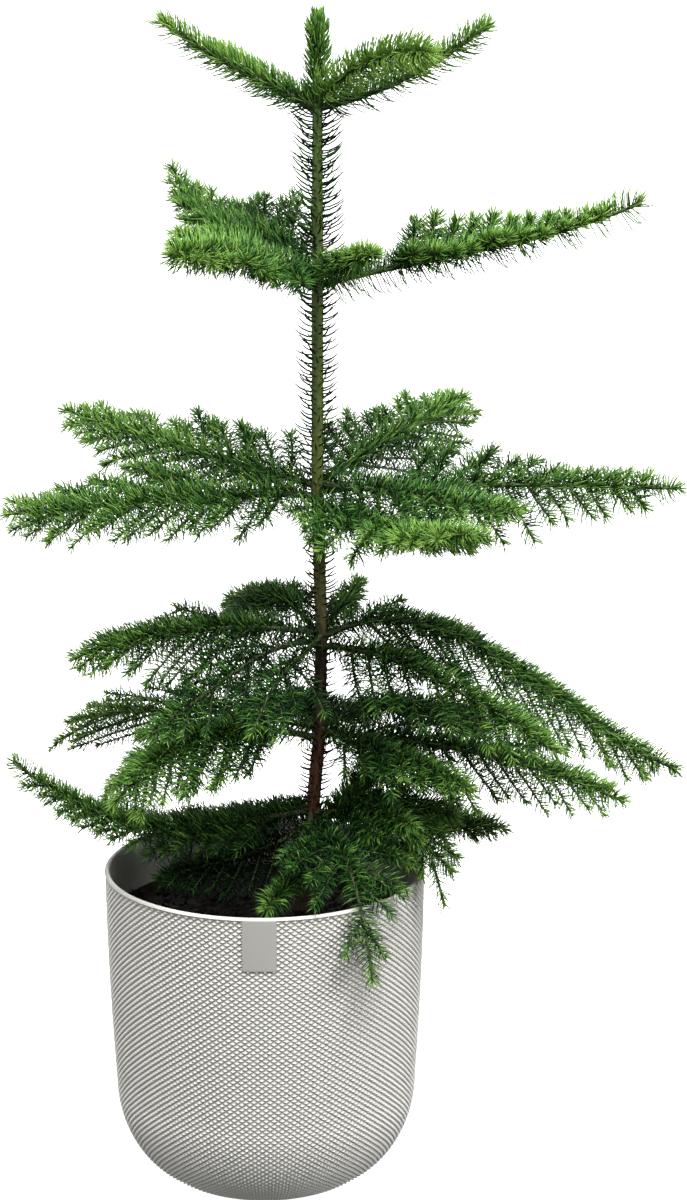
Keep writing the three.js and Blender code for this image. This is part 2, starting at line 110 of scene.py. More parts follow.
# Azimuths are in degrees from +X towards +Y. The rises are a bough's heights above its root at one third, two
# thirds and all of its reach, and offset is its root's height from the middle of its whorl. limb is the length
# of bough before the foliage. Twigs stand on both sides of it: lifts tips those on its left and those on its
# right, seen from the trunk, up out of its own plane, in degrees. longest is the length of the longest of them,
# sag how far that one's end hangs, bare the share of the bough, from its root, that carries none, and angles
# are those between bough and twig, at its root and tip. The rest only dresses it. needle is the length of its
# needles, stem_crowd and twig_crowd are how many stand on a metre, stem_lean and twig_lean how far they lean
# ahead at root and tip, in degrees, under is the share left of those that hang, and tone how light their green
# is, from 0 to 1, their own green and painted light and shade together. spacing is from twig to twig on one
# side, and full how much longer, as a share, those at the tip are. bushy is how long and crowded the needles on
# twigs are, dense how crowded alone, comb how long those on the stem are, root_crowd how crowded at its root,
# and fresh how much lighter than its whorl its green is, fresher growth and painted light and shade together.
WHORLS = [
    dict(level=1, height=641, limb=0, longest=0, needle=13, stem_crowd=8200, stem_lean=(16, 52), under=0.3,
         tone=0.66, boughs=[
        bough("left", 178, 88, (14, 29, 48), root_crowd=0.9, fresh=0.06),
        bough("right", 2, 96, (9, 24, 46), root_crowd=0.7),
        # painted light: this bough's needles are lightened where top light leaves its lower part in shade
        bough("front_right", -48, 90, (19, 28, 30), offset=3, needle=15, under=1, root_crowd=1, fresh=0.42),
        bough("back", 140, 83, (13, 24, 34), offset=-3, root_crowd=0.8, fresh=0.12),
    ]),
    dict(level=2, height=541, limb=24, sag=-4, needle=13, stem_crowd=6200, twig_crowd=4000,
         stem_lean=(2, 34), twig_lean=(8, 38), under=0.3, tone=0.6, boughs=[
        bough("right", 0, 184, (14, 27, 47), longest=34, lifts=(68, 8), angles=(88, 58), bare=0.24, spacing=11.5,
            full=-0.6, bushy=1.15, dense=1.9, comb=1.3, stem_crowd=4200, root_crowd=1, fresh=0.04),
        bough("back_left", 122, 172, (27, 30, 60), offset=-3, limb=16, longest=40, lifts=(4, 34), bare=0.12,
            root_crowd=0.9, fresh=-0.04),
        bough("front_left", 237, 140, (17, 26, 29), longest=42, lifts=(-30, 26), bare=0.1, under=0.6, root_crowd=1,
            fresh=0.04),
        bough("front_right", -66, 76, (8, 15, 21), offset=4, longest=20, lifts=(8, 8), under=0.6, root_crowd=1,
            fresh=0.04),
    ]),
    dict(level=3, height=422, sag=8, stem_crowd=5300, stem_lean=(2, 34), twig_lean=(8, 38), under=0.5,
         tone=0.58, boughs=[
        bough("right", 2, 212, (3, 2, 0), longest=40, lifts=(40, -40), angles=(82, 56), spacing=12.5, bushy=1.2,
            root_crowd=1),
        bough("back_right", 58, 172, (12, 22, 29), offset=3, limb=18, longest=58, lifts=(22, -8), bare=0.12,
            bushy=0.86, root_crowd=0.9, fresh=-0.04),
        bough("back_left", 147, 186, (8, 17, 28), offset=3, limb=15, longest=54, lifts=(-14, 32), bare=0.1,
            root_crowd=1, fresh=0.03),
        bough("left", 186, 180, (1, -3, -7), offset=-3, limb=13, longest=46, lifts=(-10, 26), angles=(80, 36),
            bare=0.08, spacing=8.5, full=0.6, root_crowd=1),
        bough("front_right", -36, 138, (1, 0, -2), offset=4, limb=18, longest=50, lifts=(10, -10), bare=0.14,
            bushy=0.84, comb=0.86, stem_crowd=3200, root_crowd=1, fresh=-0.06),
        bough("front", -56, 148, (-5, -4, 5), offset=-5, limb=12, longest=42, lifts=(-6, 4), angles=(98, 42),
            bare=0.08, spacing=8.5, full=0.6, comb=0.8, stem_crowd=3400, under=0.8, root_crowd=1, fresh=0.08),
    ]),
    dict(level=4, height=334, boughs=[
        bough("right", 2, 212, (4, -38, -83), limb=14, longest=60, lifts=(0, -36), angles=(64, 36), bare=0.08,
            spacing=8.5, bushy=0.94, root_crowd=1, fresh=0.08),
        bough("back_right", 72, 74, (6, 11, 15), offset=3, longest=12, lifts=(20, 10)),
        bough("back_left", 120, 118, (16, 13, 0), offset=-3, longest=34, lifts=(-24, 16)),
        bough("left", 188, 146, (5, 2, -11), offset=3, limb=16, longest=50, lifts=(-26, 14), angles=(60, 32),
            bare=0.12, spacing=8.5, root_crowd=0.9),
        bough("front_left", 218, 122, (0, -16, -35), offset=-3, longest=50, lifts=(-10, 4), spacing=12.5, bushy=0.84,
            stem_crowd=3600, fresh=-0.15),
        bough("front", 246, 94, (-8, -16, -38), offset=3, longest=46, spacing=12.5, bushy=0.84, stem_crowd=3600,
            fresh=-0.18),
        bough("front_right", -26, 150, (-4, -22, -46), offset=-5, limb=16, longest=54, lifts=(6, -20), angles=(68, 42),
            bare=0.12, root_crowd=1),
    ]),
    dict(level=5, height=276, boughs=[
        bough("right", -10, 181, (-3, -13, -33), limb=18, longest=50, lifts=(14, -30), bare=0.12, bushy=0.92,
            root_crowd=1, fresh=0.1),
        bough("back_right", 42, 136, (4, -4, -22), offset=3),
        bough("back", 100, 120, (6, 2, -12), offset=-3),
        bough("back_left", 164, 160, (5, 3, -9), offset=3, limb=18, longest=84, lifts=(-26, 18), angles=(36, 20),
            bare=0.12, spacing=16, bushy=0.72, comb=0.8, stem_crowd=3200, root_crowd=0.8, fresh=0.1),
        bough("left", 214, 140, (13, 12, -18), offset=-3, longest=48, lifts=(-22, -4), spacing=8, full=0.6, under=0.8,
            fresh=0.06),
        bough("front_right", -40, 113, (-6, -10, -18), offset=4, limb=18, longest=36, bare=0.16, root_crowd=1),
    ]),
    dict(level=6, height=228, limb=0, longest=44, lifts=(2, 2), sag=6, under=0.7, tone=0.46, boughs=[
        bough("right", -28, 88, (10, 14, -46), longest=54, lifts=(50, -44), angles=(50, 36), bare=0.1, spacing=5.6,
            bushy=1.08, dense=1.2, under=1, root_crowd=1, fresh=0.12),
        bough("back_right", 16, 122, (-2, -8, -18), offset=-4, longest=34, bushy=1.1, fresh=0.06),
        bough("back_left", 138, 104, (-10, -21, -32), offset=2, longest=40, lifts=(-10, 0), bare=0.1, fresh=-0.04),
        bough("left", 182, 177, (-8, -3, 33), lifts=(-10, 2), bare=0.1, fresh=0.06),
        # painted shade: this bough's needles are darkened where it hangs low in the shaded mouth of the pot
        bough("mid_left", 204, 96, (-13, -18, -22), offset=-7, longest=34, lifts=(-26, 4), bare=0.16, fresh=-0.4),
        bough("front_left", 250, 76, (-33, -38, -41), offset=3, longest=0, root_crowd=1, fresh=0.04),
        bough("front", -70, 104, (-6, -15, -67), offset=-4, longest=54, bare=0.1, spacing=9.2, bushy=0.84, under=0.8,
            root_crowd=1, fresh=-0.02),
    ]),
]

TWIG_FORWARD = 0.18  # how far a twig's end swings forward, as a share of its length
TWIG_CLEAR = 0.0016  # from a twig's centre line to anything that isn't its own mass
LEADER_CLEAR = 0.008
POT_CLEAR = 0.003
NEEDLE_CLEAR = 0.0005
SAMPLE_STEP = 0.003
SLOPE_STEP = 0.01  # the share of a bough, to either side, over which its direction is taken
TWIG_UNEVEN = dict(angle=7, lift=9, sag=0.5)  # in degrees, and as a share
TWIG_PLACE = (0.25, 0.75)  # in its own stretch of bough
TWIG_LENGTH = (0.85, 1.1)  # drawn for each twig, as a share
TWIG_GROWTH = dict(first=0.8, gain=0.9, loss=0.82)  # along its bough, as shares

BOUGH_RADIUS = (0.0018, 0.0008)  # at its root and at its tip
TWIG_RADIUS = (0.0009, 0.0005)

Z = np.array([0.0, 0.0, 1.0])
GOLDEN_ANGLE = math.pi * (3 - math.sqrt(5))

# ---- small helpers


def seeded(seed):
    """The same repeatable source of numbers as the solids have."""
    state = seed

    def draw(low=0.0, high=1.0):
        nonlocal state
        state = (state * 48271) % 2147483647
        return low + (high - low) * state / 2147483647

    return draw


def unit(vectors):
    return vectors / np.linalg.norm(vectors, axis=-1, keepdims=True)


def lerp(low, high, share):
    return low + (high - low) * share


def sides_of(ahead):
    """The level direction across each heading, and the one above it."""
    across = unit(np.cross(Z, ahead))
    return across, np.cross(ahead, across)


def bare_colour(red, green, blue):
    """A linear colour from the three numbers, 0 to 255, that a painter's chart gives."""
    shares = np.array([red, green, blue]) / 255
    linear = np.where(shares <= 0.04045, shares / 12.92, ((shares + 0.055) / 1.055) ** 2.4)
    return (*linear.tolist(), 1.0)


def painted(**paints):
    return {name: bare_colour(*paint) for name, paint in paints.items()}


def leader_points(heights):
    heights = np.asarray(heights, float)
    offsets = np.interp(heights, LEADER[:, 0], LEADER[:, 1])
    return np.stack([offsets, np.zeros_like(offsets), heights], axis=-1)


def leader_radius(heights):
    return np.interp(heights, LEADER[:, 0], LEADER[:, 2])


# ---- needles and bark

NEEDLE_RADIUS = 0.0004
NEEDLE_RINGS = ((0.0, 1.0), (0.55, 0.84))  # share of the length, and of the radius
FINE_RINGS = ((0.0, 1.0), (0.3, 0.96), (0.58, 0.84), (0.82, 0.52))  # for the long needles near the top
NEEDLE_SIDES = 3

# How the needles vary: their place round the stem, sway and lean in radians, and their sizes as shares.
NEEDLE_TURN = 0.3
NEEDLE_SWAY = 0.16
NEEDLE_LEANS = (0.1, 0.12)  # at root and tip
NEEDLE_SIZES = (0.84, 1.12)
NEEDLE_WIDTHS = (0.88, 1.1)

NEEDLE_SEAT = 0.6  # how far out a needle starts, as a share of its stem's radius
LEAST_BEND = 0.001
AHEAD_STEP = 0.004  # of a stem, over which the way ahead is taken
NEEDLES_FROM = 0.005  # from the leader's axis to a bough's first needle
STEM_PLACE = 0.3  # how far out the green of a whole stem is taken
TWIG_NEEDLE = 0.88  # a twig's needles to its bough's
TWIG_SIDES = 5
TWIG_RING_STEP = 0.004
TWIG_BUD = 0.0015
SEAM = 0.000001

SHOOT_END = dict(length=0.009, share=0.62, lean=(46, 70), count=9, gather=1.5)  # needles closed up to a bud
UNDERSIDE = dict(below=-0.35, longer=1.18, hook=14)  # needles that hang below a bough

ROOT_PART = 0.35  # stems are more thinly clothed up to this part of their reach

# What makes a needle's green lighter or darker than its whorl's: random spreads by needle and by spray,
# painted shade on the needles that hang below a bough, and a lighter green at shoot ends and out along stems and
# twigs.
TONE = dict(needle=0.17, spray=0.07, under=0.12, end=0.14, outward=0.32, twig=-0.02, twig_rise=0.12)

# The leader's needles from each height up to the next: their length, leans, tone, which is lighter higher
# up, number a metre and thickness.
LEADER_NEEDLES = [
    (0.186, 0.340, 0.0105, (4, 46), 0.2, 1500, 1.5),
    (0.340, 0.430, 0.0110, (4, 50), 0.24, 1600, 1.5),
    (0.430, 0.548, 0.0140, (2, 58), 0.26, 1600, 1.6),
    (0.548, 0.640, 0.0180, (2, 62), 0.3, 1900, 1.6),
    (0.640, 0.672, 0.0130, (34, 72), 0.62, 7800, 1),
    (0.672, 0.684, 0.0120, (36, 76), 0.7, 12000, 1),
    (0.684, 0.690, 0.0095, (62, 86), 0.76, 18000, 1),
]

TRUNK = dict(rings=380, sides=24, green_above=0.36, green_within=0.1)
TRUNK_PADS = dict(height=0.0005, pitch=0.009, around=4)
TRUNK_CRACKS = dict(girth=0.004, cell=0.0016, stretch=3.0, green=0.00008, woody=0.00028)
TRUNK_FOOT = dict(height=0.008, swell=0.12, ribs=3)
BOUGH = dict(ring_step=0.0024, sides=8)
BOUGH_PADS = dict(height=0.00014, pitch=0.005, around=2)
BOUGH_COLLAR = dict(width=0.0008, length=0.004)
BOUGH_CRACKS = dict(girth=0.002, cell=0.0015, height=0.0001)

SOIL = dict(rings=56, columns=150, rim=0.004, lower=0.0022)
SWELLS = dict(cell=0.021, height=0.0016)
LUMPS = dict(cell=0.0055, height=0.0024, octaves=3)
CRUMBS = dict(count=900, size=(0.0006, 0.0019), stretch=(0.7, 1.2), uneven=0.12)
CRUMBS_LIE = dict(clear=0.003, sunk=0.0009, rise=0.0012, tilt=0.5)  # clear of the wall, and on the bed
FIBRES = dict(every=6, stretch=(2.6, 0.5, 0.4))

SEEDS = dict(needles=7, soil=11, whorl=1000, bough=77)  # the last two make up a bough's own

# ---- colours

WHITE = (1, 1, 1, 1)
IVORY = bare_colour(208, 207, 202)
IVORY_DULL = bare_colour(199, 198, 193)
GROOVE_SHADE = (0.66, 0.66, 0.64, 1)  # what the painted shade in the knurl's grooves leaves of the ivory
LIP_AND_INSIDE_SHADE = 0.6  # painted shade on the smooth lip, the inside and the middle of the bottom, as a place between the knurl's points, 0, and its grooves, 1
GREIGE = bare_colour(159, 158, 152)
GREIGE_DULL = bare_colour(155, 153, 147)
PEAT = painted(dark=(12, 9, 7), light=(34, 26, 20), crumb_dark=(18, 13, 10), crumb_light=(52, 38, 27))
BARK = painted(
    brown=(62, 42, 30), red=(100, 56, 38), olive_brown=(80, 76, 32), olive=(80, 92, 30), green=(66, 94, 30),
    bough=(58, 74, 28), bough_dark=(36, 46, 18), twig=(34, 52, 18),
)
BARK_STOPS = ((0.1, "brown"), (0.24, "red"), (0.36, "brown"), (0.44, "olive_brown"), (0.56, "olive"), (1.0, "green"))
BARK_MOTTLE = 0.16  # how far the grain shifts them
BARK_SCAR = (0.45, 0.42, 0.4, 1)  # what the scars leave of the bark's colour
NEEDLE_TINTS = dict(  # from dark to light, dealt out by a tone that mixes the needles' own green with painted light and shade
    shade=(4, 18, 3), deep=(10, 36, 6), leaf=(25, 63, 17), green=(51, 95, 34), fresh=(86, 128, 52),
    young=(119, 157, 68),
)

# ---- camera, lights and floor

CAMERA = dict(place=(0.04705, -1.5735, 0.72306), pitch=13.1, lens=82.71, sensor=36)
STAGE = dict(middle=0.5, radius=2.4, sweep=1.2, height=3.4, colour=(0.8, 0.8, 0.8, 1), glow=0.96)
STAGE_STEPS = dict(sweep=12, round=96)
STAGE_DROP = 0.0002
WORLD_LIGHT = 0.24
LIGHTS = [  # name, place, what it points at, size and power
    ("top_softbox", (0.3, -1.4, 3.6), (0.03, 0, 0.3), 2.6, 300),
    ("right_fill", (2.8, -1.5, 1.5), (0, 0, 0.2), 1.6, 70),
    ("left_fill", (-2.8, -1.5, 1.5), (0, 0, 0.2), 1.6, 40),
    ("back_fill", (-0.3, 2.8, 2.4), (0, 0, 0.25), 2.2, 50),
]

# ---- the lines of the boughs and twigs


def rise_at(rises, s):
    """A bough's height above its root: the cubic through its three rises at one third, two thirds and one."""
    third, two_thirds, whole = rises
    near = 13.5 * s * (s - 2 / 3) * (s - 1) * third
    far = -13.5 * s * (s - 1 / 3) * (s - 1) * two_thirds
    return near + far + 4.5 * s * (s - 1 / 3) * (s - 2 / 3) * whole


def bough_points(bough, s):
    s = np.asarray(s, float)[..., None]
    turn = math.radians(bough["azimuth"])
    outward = np.array([math.cos(turn), math.sin(turn), 0.0])
    return bough["root"] + bough["reach"] * s * outward + rise_at(bough["rises"], s) * Z


def heading_of(bough, s):
    return unit(bough_points(bough, s + SLOPE_STEP) - bough_points(bough, s - SLOPE_STEP))


def twig_curve(bough, s, side, length, draw):
    """A twig as a curve from 0 to 1. side is 1 on the left of its bough, seen from the trunk, and -1 on the right."""
    uneven = {key: draw(-most, most) for key, most in TWIG_UNEVEN.items()}
    root = bough_points(bough, s)
    ahead = heading_of(bough, s)
    across, above = sides_of(ahead)
    lift = math.radians(bough["lifts"][0 if side > 0 else 1] + uneven["lift"])
    out = across * side * math.cos(lift) + above * math.sin(lift)
    angle = math.radians(lerp(*bough["angles"], s) + uneven["angle"])
    heading = ahead * math.cos(angle) + out * math.sin(angle)
    sag = bough["sag"] * (1 + uneven["sag"]) * length / bough["longest"]

    def curve(t):
        t = np.asarray(t, float)[..., None]
        return root + heading * length * t + ahead * TWIG_FORWARD * length * t**2 - Z * sag * t**2

    return curve


def twig_share(s):
    """A twig's length as a share of its bough's longest: they grow a little from the first, then shrink."""
    along = (s - TWIG_SPAN[0]) / (1 - TWIG_SPAN[0])
    return min(1, TWIG_GROWTH["first"] + TWIG_GROWTH["gain"] * along) * (1 - TWIG_GROWTH["loss"] * along)


def twigs_of(bough, draw):
    """The twigs of a bough, those on its two sides staggered."""
    if not bough["longest"]:
        return []
    reach = bough["reach"]
    first = max(bough["bare"] * reach, bough["limb"] + TWIG_CLEAR)
    room = TWIG_SPAN[1] * reach - first
    count = 2 * round(room / bough["spacing"])
    twigs = []
    for i in range(count):
        s = (first + room * (i + draw(*TWIG_PLACE)) / count) / reach
        length = bough["longest"] * twig_share(s) * draw(*TWIG_LENGTH) * (1 + bough["full"] * s)
        side = 1 if i % 2 else -1
        curve = twig_curve(bough, s, side, length, draw)
        twigs.append({"curve": curve, "length": length, "bough": bough, "from": s})
    return twigs


def stem_of(bough):
    """A bough's own line, from the leader to its tip."""
    return {"curve": lambda t: bough_points(bough, t), "length": bough["reach"], "bough": bough, "from": None}


def boughs_of_the_tree():
    boughs = []
    for whorl in WHORLS:
        for i, own in enumerate(whorl["boughs"]):
            bough = {**HABIT, **whorl, **own}
            bough |= {key: bough[key] / MILLIMETRES for key in LENGTHS}
            bough["rises"] = [rise / MILLIMETRES for rise in bough["rises"]]
            bough["root"] = leader_points(bough["height"] + bough["offset"])
            bough["draw"] = seeded(SEEDS["whorl"] * whorl["level"] + SEEDS["bough"] * (i + 1))
            bough["name"] = f"{whorl['level']}_{own['side']}"
            boughs.append(bough)
    return boughs


# ---- what a twig or needle keeps clear of


def pot_radius(z):
    """The pot's outer radius at a height on its wall."""
    down = np.clip((POT_TOP - z) / (POT_TOP - SHOULDER["height"]), 0, 1)
    return lerp(RIM_RADIUS, SHOULDER["radius"], down**WALL_BULGE)


def in_pot_or_soil(points, clearance):
    """Which points are in the pot's wall or the soil, or nearer to them than a clearance."""
    radius = np.hypot(points[:, 0], points[:, 1])
    height = points[:, 2]
    wall = pot_radius(height)
    soil = (height < SOIL_TOP + clearance) & (radius < wall)
    near_wall = (radius < wall + clearance + KNURL["proud"]) & (radius > wall - WALL - clearance)
    return soil | ((height < POT_TOP + clearance) & near_wall)


def near_leader(points, clearance):
    offset = points[:, :2] - leader_points(points[:, 2])[:, :2]
    inside = points[:, 2] < LEADER_TIP
    return inside & (np.linalg.norm(offset, axis=1) < leader_radius(points[:, 2]) + clearance)


def samples_of(line):
    return line["curve"](np.linspace(0, 1, math.ceil(line["length"] / SAMPLE_STEP) + 1))


def distance_between(points, others):
    gaps = points[:, None, :] - others[None, :, :]
    return math.sqrt(np.einsum("ijk,ijk->ij", gaps, gaps).min())


def grow(boughs):
    """The stems and the twigs of the tree. A twig that would come too near to another bough's is left out."""
    stems = [stem_of(bough) for bough in boughs]
    taken = {bough["name"]: [samples_of(stem)] for bough, stem in zip(boughs, stems)}
    twigs = []
    for bough in boughs:
        for twig in twigs_of(bough, bough["draw"]):
            points = samples_of(twig)
            if in_pot_or_soil(points, POT_CLEAR).any() or near_leader(points, LEADER_CLEAR).any():
                continue
            others = np.concatenate([p for name, rows in taken.items() if name != bough["name"] for p in rows])
            if distance_between(points, others) < TWIG_CLEAR:
                continue
            taken[bough["name"]].append(points)
            twigs.append(twig)
    return stems, twigs


# ---- where the needles stand


def crowded(shares, root_crowd):
    """Even shares of a stem drawn towards its tip, so that fewer needles stand on the first part of it."""
    grid = np.linspace(0, 1, 101)
    crowd = lerp(root_crowd, 1, np.clip(grid / ROOT_PART, 0, 1))
    summed = np.cumsum(crowd)
    return np.interp(shares * summed[-1], summed, grid)


def dress_line(line, rng, radii, crowd, needle, lean, tone, tone_rise=0, thick=1, start=0, root_crowd=1, under=1,
               hang=1, end=1, axes=None):
    """The needles round one stem or twig, as rows of arrays. hang and end are 0 where none hang or close up."""
    length = line["length"]
    count = round(length * crowd)
    even = crowded((np.arange(count) + rng.uniform(0, 1, count)) / max(count, 1), root_crowd)
    gathered = rng.uniform(0, 1, round(min(SHOOT_END["count"], count) * end)) ** SHOOT_END["gather"]
    along = np.sort(np.clip(np.concatenate([even, 1 - gathered * SHOOT_END["length"] / length]), 0, 1))
    along = along[along * length > start]
    count = len(along)
    here = line["curve"](along)
    if axes is None:
        step = AHEAD_STEP / length
        ahead = unit(line["curve"](np.minimum(along + step, 1)) - line["curve"](np.maximum(along - step, 0)))
        across, above = sides_of(ahead)
    else:
        ahead, across, above = (np.tile(axis, (count, 1)) for axis in axes)
    turn = GOLDEN_ANGLE * np.arange(count) + rng.normal(0, NEEDLE_TURN, count)
    out = above * np.cos(turn)[:, None] + across * np.sin(turn)[:, None]
    hanging = (out[:, 2] < UNDERSIDE["below"]).astype(float) * hang
    near_tip = np.clip(1 - (1 - along) * length / SHOOT_END["length"], 0, 1) * end
    lean_root = np.radians(lerp(lean[0], SHOOT_END["lean"][0], near_tip))
    lean_tip = np.radians(lerp(lean[1], SHOOT_END["lean"][1], near_tip) + hanging * UNDERSIDE["hook"])
    size = needle * rng.uniform(*NEEDLE_SIZES, count)
    size *= lerp(1, SHOOT_END["share"], near_tip) * lerp(1, UNDERSIDE["longer"], hanging)
    width = NEEDLE_RADIUS * thick * rng.uniform(*NEEDLE_WIDTHS, count)
    green = tone + tone_rise * along + rng.normal(0, TONE["needle"], count)
    # painted shade: needles that hang below a bough are made darker; those near a shoot's end are lighter
    green = green - TONE["under"] * hanging + TONE["end"] * near_tip
    sway = rng.normal(0, NEEDLE_SWAY, count)
    rows = {
        "base": here + out * (lerp(*radii, along) * NEEDLE_SEAT)[:, None],
        "out": out,
        "lead": ahead * np.cos(sway)[:, None] + np.cross(out, ahead) * np.sin(sway)[:, None],
        "lean_root": lean_root + rng.normal(0, NEEDLE_LEANS[0], count),
        "lean_tip": lean_tip + rng.normal(0, NEEDLE_LEANS[1], count),
        "size": size,
        "thick": width,
        "tint": np.clip((green * len(NEEDLE_TINTS)).astype(int), 0, len(NEEDLE_TINTS) - 1),
    }
    kept = (hanging == 0) | (rng.uniform(0, 1, count) < under)
    return {key: value[kept] for key, value in rows.items()}


def needle_points(rows, share):
    """The middle of each needle at a share of its length. It bends evenly from its root's lean to its tip's."""
    bend = rows["lean_tip"] - rows["lean_root"]
    bend = np.where(np.abs(bend) < LEAST_BEND, LEAST_BEND, bend)
    lean = rows["lean_root"] + bend * share
    outward = (np.sin(lean) - np.sin(rows["lean_root"])) / bend
    forward = (np.cos(rows["lean_root"]) - np.cos(lean)) / bend
    reach = rows["out"] * outward[:, None] + rows["lead"] * forward[:, None]
    return rows["base"] + reach * rows["size"][:, None]


def clear_needles(rows, of_leader=False):
    """The needles that stay out of the pot, the soil and the leader."""
    kept = np.ones(len(rows["size"]), bool)
    for share in (0.5, 1.0):
        points = needle_points(rows, share)
        kept &= ~in_pot_or_soil(points, NEEDLE_CLEAR)
        if not of_leader:
            kept &= ~near_leader(points, NEEDLE_CLEAR)
    return {key: value[kept] for key, value in rows.items()}


def joined(parts):
    return {key: np.concatenate([part[key] for part in parts]) for key in parts[0]}


# ---- meshes from arrays


def mesh_from_arrays(name, vertices, corners, sizes, tints=None):
    """A mesh from points, the corners of all its faces in a row, and each face's number of corners."""
    mesh = bpy.data.meshes.new(name)
    mesh.vertices.add(len(vertices))
    mesh.vertices.foreach_set("co", vertices.astype(np.float32).ravel())
    mesh.loops.add(len(corners))
    mesh.loops.foreach_set("vertex_index", corners.astype(np.int32))
    mesh.polygons.add(len(sizes))
    starts = np.concatenate([[0], np.cumsum(sizes)[:-1]])
    mesh.polygons.foreach_set("loop_start", starts.astype(np.int32))
    mesh.polygons.foreach_set("use_smooth", np.ones(len(sizes), bool))
    if tints is not None:
        mesh.polygons.foreach_set("material_index", tints.astype(np.int32))
    mesh.update(calc_edges=True)
    mesh.validate()
    return mesh


def placed(name, data, place=(0, 0, 0), turn=(0, 0, 0)):
    obj = bpy.data.objects.new(name, data)
    obj.location = place
    obj.rotation_euler = turn
    bpy.context.scene.collection.objects.link(obj)
    return obj


def piece(name, mesh, slot, nodes, *materials):
    """An object of the plant or the pot, which stands for CAD nodes."""
    obj = placed(name, mesh)
    for material in materials:
        mesh.materials.append(material)
    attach(obj, "root")
    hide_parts(*nodes)


def tube_corners(rings, sides):
    """The faces of a closed tube of rings that ends in one more point: corners, and each face's number of them."""
    faces = []
    for ring in range(rings - 1):
        for k in range(sides):
            low, high = ring * sides, (ring + 1) * sides
            faces.append((low + k, low + (k + 1) % sides, high + (k + 1) % sides, high + k))
    last = (rings - 1) * sides
    faces += [(last + k, last + (k + 1) % sides, rings * sides) for k in range(sides)]
    faces.append(tuple(reversed(range(sides))))
    return np.concatenate([np.array(face) for face in faces]), np.array([len(face) for face in faces])


def needle_mesh(name, rows, rings=NEEDLE_RINGS):
    """Each needle is a thin curved awl with three edges, closed at its root."""
    count = len(rows["size"])
    bend = rows["lean_tip"] - rows["lean_root"]
    binormal = np.cross(rows["out"], rows["lead"])
    parts = []
    for share, width in rings:
        lean = (rows["lean_root"] + bend * share)[:, None]
        normal = rows["lead"] * np.cos(lean) - rows["out"] * np.sin(lean)
        middle = needle_points(rows, share)
        for k in range(NEEDLE_SIDES):
            turn = 2 * math.pi * k / NEEDLE_SIDES
            edge = normal * math.cos(turn) + binormal * math.sin(turn)
            parts.append(middle + edge * (rows["thick"] * width)[:, None])
    parts.append(needle_points(rows, 1.0))
    vertices = np.stack(parts, axis=1)
    corners, sizes = tube_corners(len(rings), NEEDLE_SIDES)
    starts = np.arange(count)[:, None] * len(parts)
    corners, tints = (corners[None, :] + starts).ravel(), np.repeat(rows["tint"], len(sizes))
    return mesh_from_arrays(name, vertices.reshape(-1, 3), corners, np.tile(sizes, count), tints)


def twig_mesh(name, twigs):
    vertices, corners, sizes, start = [], [], [], 0
    for twig in twigs:
        rings = math.ceil(twig["length"] / TWIG_RING_STEP) + 1
        shares = np.linspace(0, 1, rings)
        points = twig["curve"](shares)
        ahead = unit(np.gradient(points, axis=0))
        across, above = sides_of(ahead)
        radii = lerp(*TWIG_RADIUS, shares)[:, None]
        turns = 2 * math.pi * np.arange(TWIG_SIDES) / TWIG_SIDES
        ring = [points + (across * math.cos(turn) + above * math.sin(turn)) * radii for turn in turns]
        vertices.append(np.stack(ring, axis=1).reshape(-1, 3))
        vertices.append(points[-1:] + ahead[-1:] * TWIG_BUD)
        face_corners, face_sizes = tube_corners(rings, TWIG_SIDES)
        corners.append(face_corners + start)
        sizes.append(face_sizes)
        start += rings * TWIG_SIDES + 1
    return mesh_from_arrays(name, np.concatenate(vertices), np.concatenate(corners), np.concatenate(sizes))


# ---- trunk and boughs with their bark


def wrapped_tube(bm, rings, sides, surface):
    """A tube made of a grid, with its seam and ends closed.

    For shares along it and turns round it, surface gives its middle, the ways out and the radii.
    """
    grid = bmesh.ops.create_grid(bm, x_segments=rings, y_segments=sides, size=1.0)["verts"]
    along, around = (np.array([vert.co[:2] for vert in grid]) / 2 + 0.5).T
    closed = (along * rings < 0.5) | (along > 1 - 0.5 / rings)
    middle, out, radius = surface(np.clip((along * rings - 1) / (rings - 2), 0, 1), 2 * math.pi * around)
    for vert, place in zip(grid, middle + out * np.where(closed, 0, radius)[:, None]):
        vert.co = place
    bmesh.ops.remove_doubles(bm, verts=grid, dist=SEAM)


def scars(along, turn, pads):
    """The height of the pads that needles leave on a stem, where two families of spirals cross."""
    phase = 2 * math.pi * along / pads["pitch"]
    crossing = np.cos(pads["around"] * turn + phase) * np.cos(pads["around"] * turn - phase)
    return pads["height"] * np.clip(crossing, 0, 1)


def rough(points, scale, stretch=1.0):
    """Placeless unevenness from -1 to 1, drawn out along Z."""
    return np.array([noise.noise(Vector((p[0], p[1], p[2] / stretch)) / scale) for p in points])


def mesh_of(bm, name):
    mesh = bpy.data.meshes.new(name)
    bm.to_mesh(mesh)
    bm.free()
    return mesh


def finished_bmesh(bm, name, smooth=True, inward=False):
    bmesh.ops.recalc_face_normals(bm, faces=bm.faces)
    if inward:
        bmesh.ops.reverse_faces(bm, faces=bm.faces)
    for face in bm.faces:
        face.smooth = smooth
    return mesh_of(bm, name)


def profile_verts(bm, profile):
    """Vertices at a profile's radii and heights."""
    return [bm.verts.new((radius, 0, height)) for radius, height in profile]


def spin_round(bm, verts, steps):
    """Turns a profile right round Z."""
    geom = verts + [bm.edges.new(pair) for pair in zip(verts, verts[1:])]
    turn = 2 * math.pi
    bmesh.ops.spin(bm, geom=geom, axis=(0, 0, 1), cent=(0, 0, 0), angle=turn, steps=steps, use_merge=True)
    bmesh.ops.remove_doubles(bm, verts=bm.verts, dist=SEAM)


